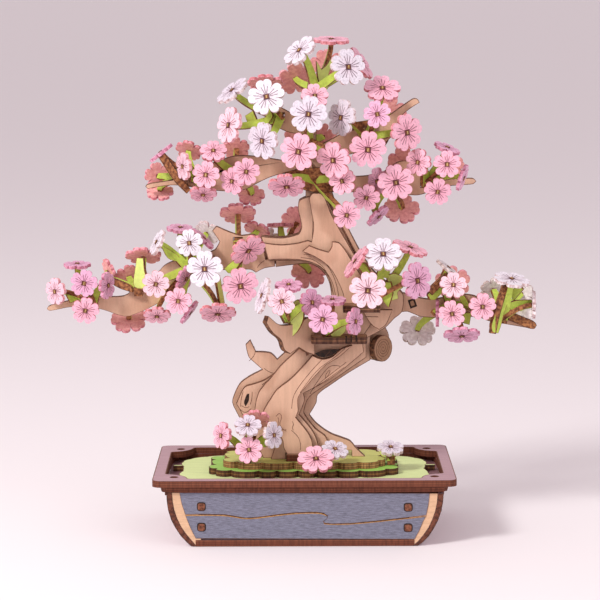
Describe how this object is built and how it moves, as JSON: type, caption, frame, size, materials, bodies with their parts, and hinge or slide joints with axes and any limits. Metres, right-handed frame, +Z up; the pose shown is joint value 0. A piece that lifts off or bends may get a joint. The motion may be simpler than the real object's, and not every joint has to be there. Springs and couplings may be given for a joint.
{
  "type": "laser-cut plywood model of a cherry blossom bonsai in a plywood tray",
  "caption": "Display model of a flowering cherry bonsai, slotted together from flat laser-cut boards, in a shallow rectangular plywood tray.",
  "frame": {"origin": "middle of the tray's underside, on the surface it stands on", "axes": "+Z up, +X to the right of someone looking at the front, -Y towards them"},
  "size_m": [0.2284, 0.084, 0.2302],
  "materials": {
    "petals": "laser-cut thin board, painted pink and white, with burnt edges",
    "plum_board": "laser-cut plywood, printed plum, burnt edges",
    "slate_board": "laser-cut plywood, printed slate blue",
    "pale_board": "bare pale plywood",
    "soil_paint": "plywood painted light green",
    "moss_paint": "plywood painted mid green",
    "olive_paint": "plywood painted olive green",
    "burnt_board": "bare plywood, dark burnt edges",
    "trunk_board": "bare tan plywood with engraved grain"
  },
  "bodies": {
    "root": {"back_panel": "slate_board", "base_front_sprig": "petals", "base_left_sprig": "petals", "base_plate": "plum_board", "base_right_sprig": "petals", "bracket_twig_sprig": "petals", "crown_left_branch": "trunk_board", "crown_left_sprig": "petals", "crown_low_right_sprig": "petals", "crown_middle_sprig": "petals", "crown_right_sprig": "petals", "crown_top_sprig": "petals", "far_left_branch": "trunk_board", "far_left_stem_sprig": "petals", "far_left_tip_sprig": "petals", "far_right_branch": "trunk_board", "far_right_twig_sprig": "petals", "front_panel_lower": "slate_board", "front_panel_upper": "slate_board", "knot_disc": "pale_board", "left_back_frame": "pale_board", "left_bracket": "trunk_board", "left_branch": "trunk_board", "left_cluster_sprig": "petals", "left_end_wall": "plum_board", "left_front_frame": "pale_board", "left_rear_sprig": "petals", "left_stem_sprig": "petals", "low_platform": "burnt_board", "lower_rim": "plum_board", "moss_high": "olive_paint", "moss_low": "moss_paint", "platform_twig_sprig": "petals", "pointed_bracket": "trunk_board", "right_back_frame": "pale_board", "right_branch": "trunk_board", "right_end_wall": "plum_board", "right_front_frame": "pale_board", "right_front_twig_sprig": "petals", "right_middle_branch": "trunk_board", "right_platform": "burnt_board", "right_tip_sprig": "petals", "right_twig_sprig": "petals", "root_board": "burnt_board", "soil_board": "soil_paint", "tray_floor": "plum_board", "trunk_back_face": "trunk_board", "trunk_back_inner": "trunk_board", "trunk_back_outer": "trunk_board", "trunk_core": "trunk_board", "trunk_front_face": "trunk_board", "trunk_front_inner": "trunk_board", "trunk_front_outer": "trunk_board", "trunk_tongue": "trunk_board", "trunk_top_sprig": "petals", "upper_left_branch": "trunk_board", "upper_left_inner_sprig": "petals", "upper_left_outer_sprig": "petals", "upper_right_branch": "trunk_board", "upper_rim": "plum_board"}
  },
  "joints": []
}
